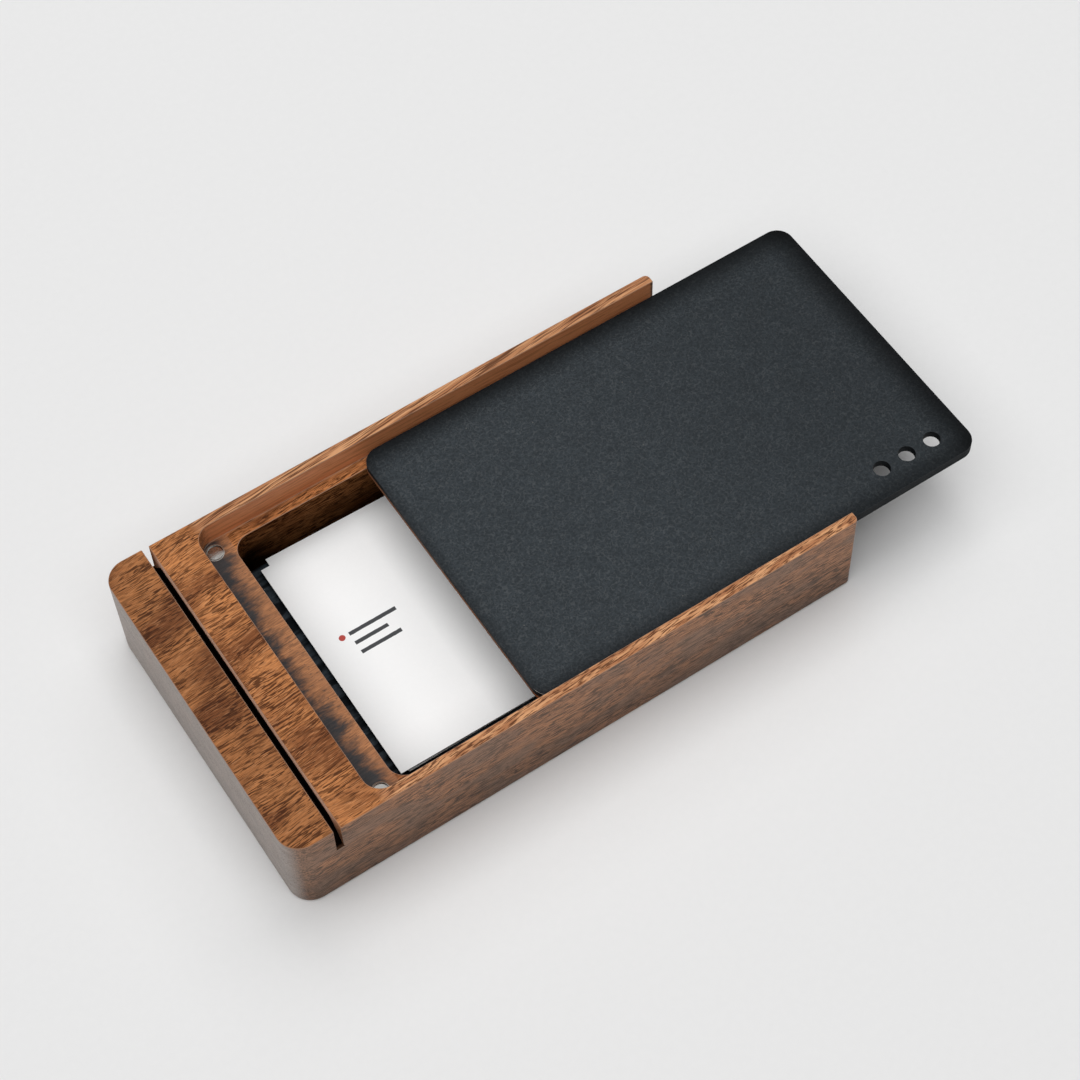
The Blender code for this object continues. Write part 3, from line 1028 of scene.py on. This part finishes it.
def in_pocket(point):
    """Say whether a point lies on the pocket's walls or floor."""
    along = POCKET_LOW.x - WOOD_EASE < point.x < POCKET_HIGH.x + WOOD_EASE
    across = abs(point.y) < POCKET_HIGH.y + WOOD_EASE
    return along and across and POCKET_LOW.z - WOOD_EASE < point.z < LEDGE_Z - WOOD_EASE


def in_slot(point):
    """Say whether a point lies on the slot's walls or floor."""
    inside = SLOT_X - WOOD_EASE / 4 < point.x < SLOT_X + SLOT_WIDTH + WOOD_EASE / 4
    return inside and BLOCK_HIGH.z - SLOT_DEPTH - WOOD_EASE < point.z < BLOCK_HIGH.z - WOOD_EASE / 2


def model_block(oiled, bare):
    """Mill the block: lid rebate, card pocket, slot, magnet bores and pad recess."""
    block = add_box("walnut_block", BLOCK_LOW, BLOCK_HIGH)
    round_uprights(block, BLOCK_CORNER, "low")
    round_uprights(block, OPEN_END_CORNER, "high")
    top = BLOCK_HIGH.z + OVERSHOOT
    past_end = BLOCK_HIGH.x + OVERSHOOT + REBATE_CORNER
    rebate = add_box("rebate", (REBATE_X, -REBATE_Y, LEDGE_Z), (past_end, REBATE_Y, top))
    carve(block, round_uprights(rebate, REBATE_CORNER))
    pocket = add_box("pocket", POCKET_LOW, (POCKET_HIGH.x, POCKET_HIGH.y, top))
    carve(block, round_uprights(pocket, POCKET_CORNER))
    past_side = BLOCK_HIGH.y + OVERSHOOT
    slot_floor = BLOCK_HIGH.z - SLOT_DEPTH
    slot = add_box("slot", (SLOT_X, -past_side, slot_floor), (SLOT_X + SLOT_WIDTH, past_side, top))
    carve(block, slot)
    for name in ("magnet_back", "magnet_front"):
        low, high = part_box(name)
        centre = (low + high) / 2
        radius = (high.x - low.x) / 2 + MAGNET_CLEARANCE
        carve(block, add_disc("bore", centre.xy, radius, low.z - SEAT_GAP, top))
    grow = Vector((PAD_CLEARANCE, PAD_CLEARANCE, 0.0))
    recess = add_box(
        "recess",
        PAD_LOW - grow - Vector((0.0, 0.0, OVERSHOOT)),
        (PAD_HIGH.x + grow.x, PAD_HIGH.y + grow.y, BLOCK_LOW.z + PAD_RECESS))
    carve(block, round_uprights(recess, PAD_CORNER))
    ease_edges(block, WOOD_EASE, WOOD_EASE_STEPS)
    finish_piece(block, "box_body", "box", oiled)
    block.data.materials.append(bare)
    shape = edit(block, 'FACE')
    for face in shape.faces:
        middle = face.calc_center_median()
        face.select_set(in_pocket(middle) or in_slot(middle))
    bmesh.update_edit_mesh(block.data)
    block.active_material_index = 1
    bpy.ops.object.material_slot_assign()
    done()


def model_lid(coat):
    """Cut the lid from sheet: round corners, three holes deburred below, soft edges."""
    lid = round_uprights(add_box("sliding_lid", LID_LOW, LID_HIGH), LID_CORNER)
    for centre in HOLES:
        low, high = LID_LOW.z - OVERSHOOT, LID_HIGH.z + OVERSHOOT
        carve(lid, add_disc("hole", centre.xy, HOLE_RADIUS, low, high))
    ease_edges(lid, LID_EASE, LID_EASE_STEPS)
    for centre in HOLES:
        low, high = LID_LOW.z - HOLE_DEBUR, LID_LOW.z + HOLE_DEBUR
        radius = HOLE_RADIUS - HOLE_DEBUR_LAP
        carve(lid, add_cone("debur", centre.xy, low, high, radius + 2 * HOLE_DEBUR, radius))
    finish_piece(lid, "lid", "lid", coat)


def model_magnet(node_name, nickel):
    """Turn a magnet: a disc with a rounded rim and a low crown."""
    low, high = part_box(node_name)
    centre = (low + high) / 2
    magnet = add_disc(f"{node_name}_disc", centre.xy, (high.x - low.x) / 2, low.z, high.z - MAGNET_RIM / 2)
    shape = edit(magnet, 'FACE')
    for face in shape.faces:
        face.select_set(face.normal.z > math.cos(SMOOTH_ANGLE))
    bmesh.update_edit_mesh(magnet.data)
    bpy.ops.mesh.bevel(offset=MAGNET_RIM, segments=MAGNET_RIM_STEPS, affect='EDGES')
    for inset, rise in MAGNET_CROWN:
        bpy.ops.mesh.inset(thickness=inset, depth=rise)
    done()
    pick(magnet)
    bpy.ops.object.shade_smooth_by_angle(angle=SMOOTH_ANGLE)
    finish_piece(magnet, node_name, "box", nickel)


def model_felt(felt):
    """Cut the felt liner with round corners and roughen its surface."""
    sheet = round_uprights(add_box("felt_sheet", FELT_LOW, FELT_HIGH), FELT_CORNER)
    remesh = sheet.modifiers.new("wool", 'REMESH')
    remesh.mode = 'VOXEL'
    remesh.voxel_size = FELT_VOXEL
    apply_modifier(sheet, remesh)
    edit(sheet, 'VERT')
    bpy.ops.mesh.select_all(action='SELECT')
    bpy.ops.transform.vertex_random(offset=FELT_FUZZ, uniform=0.0, normal=1.0, seed=FELT_SEED)
    done()
    pick(sheet)
    bpy.ops.object.shade_smooth()
    finish_piece(sheet, "felt_liner", "box", felt)


def dress_nodes(finishes):
    """Give the nodes that keep their own shape their finishes."""
    for name, material in finishes:
        NODES[name].data.materials.clear()
        NODES[name].data.materials.append(material)


# Studio


def seen_rays(tree):
    """Return 1 for rays from the camera, from gloss and through glass, and 0 for the rest."""
    path = node(tree, 'ShaderNodeLightPath').outputs
    direct = either(tree, path['Is Camera Ray'], path['Is Glossy Ray'])
    return either(tree, direct, path['Is Transmission Ray'])


def lay_floor():
    """Lay the plain pale floor."""
    bpy.ops.object.select_all(action='DESELECT')
    bpy.ops.mesh.primitive_plane_add(size=FLOOR_SIZE, location=(0.0, 0.0, -FLOOR_DROP))
    floor = bpy.context.object
    floor.name = "studio_floor"
    material, tree, shader = new_material("studio_floor", Roughness=0.9, Specular_IOR_Level=0.0)
    weave = noise(tree, object_place(tree), evenly(FLOOR_WEAVE_WAVES), detail=3.0, roughness=0.6)
    tone = vary(tree, weave, FLOOR_TONE - FLOOR_WEAVE, FLOOR_TONE + FLOOR_WEAVE)
    wire(tree, shader, Base_Color=tone)
    floor.data.materials.append(material)


def hang_softboxes():
    """Hang two wide softboxes over the table, facing down."""
    for name, place, size, power in SOFTBOXES:
        lamp = bpy.data.lights.new(name, 'AREA')
        lamp.shape = 'SQUARE'
        lamp.size = size
        lamp.energy = power
        softbox = bpy.data.objects.new(name, lamp)
        softbox.location = place
        softbox.visible_glossy = False
        bpy.context.scene.collection.objects.link(softbox)


def fill_world():
    """Give the room a low even fill, and a pale backdrop to look at."""
    world = bpy.data.worlds.new("studio")
    world.use_nodes = True
    bpy.context.scene.world = world
    tree = world.node_tree
    fill = tree.nodes["Background"]
    fill.inputs['Color'].default_value = WHITE
    fill.inputs['Strength'].default_value = WORLD_FILL
    seen = node(tree, 'ShaderNodeBackground', {'Color': WHITE, 'Strength': BACKDROP_TONE})
    mixed = node(tree, 'ShaderNodeMixShader', {0: seen_rays(tree)})
    tree.links.new(fill.outputs[0], mixed.inputs[1])
    tree.links.new(seen.outputs[0], mixed.inputs[2])
    tree.links.new(mixed.outputs[0], tree.nodes["World Output"].inputs['Surface'])


def set_camera():
    """Set the camera where the photograph was taken from."""
    lens = bpy.data.cameras.new("camera")
    lens.sensor_fit = 'HORIZONTAL'
    lens.angle = 2 * math.atan(IMAGE_PIXELS / 2 / FOCAL_PIXELS)
    camera = bpy.data.objects.new("camera", lens)
    level = math.cos(CAMERA_ELEVATION)
    back = Vector((
        math.sin(CAMERA_AZIMUTH) * level,
        -math.cos(CAMERA_AZIMUTH) * level,
        math.sin(CAMERA_ELEVATION)))
    turn = back.to_track_quat('Z', 'Y').to_matrix() @ Matrix.Rotation(CAMERA_ROLL, 3, 'Z')
    camera.matrix_world = Matrix.Translation(CAMERA_PLACE) @ turn.to_4x4()
    bpy.context.scene.collection.objects.link(camera)
    bpy.context.scene.camera = camera


bpy.context.scene.view_settings.view_transform = 'Standard'
set_camera()
model_block(oiled_walnut_material(), bare_walnut_material())
model_lid(lid_material())
nickel = nickel_material()
model_magnet("magnet_back", nickel)
model_magnet("magnet_front", nickel)
model_felt(felt_material())
paper = paper_material("white_card", False)
dress_nodes((
    ("base_pad", rubber_material()),
    ("card_6", paper_material("printed_card", True)),
    *((f"card_{index}", paper) for index in range(1, 6)),
))
lay_floor()
hang_softboxes()
fill_world()
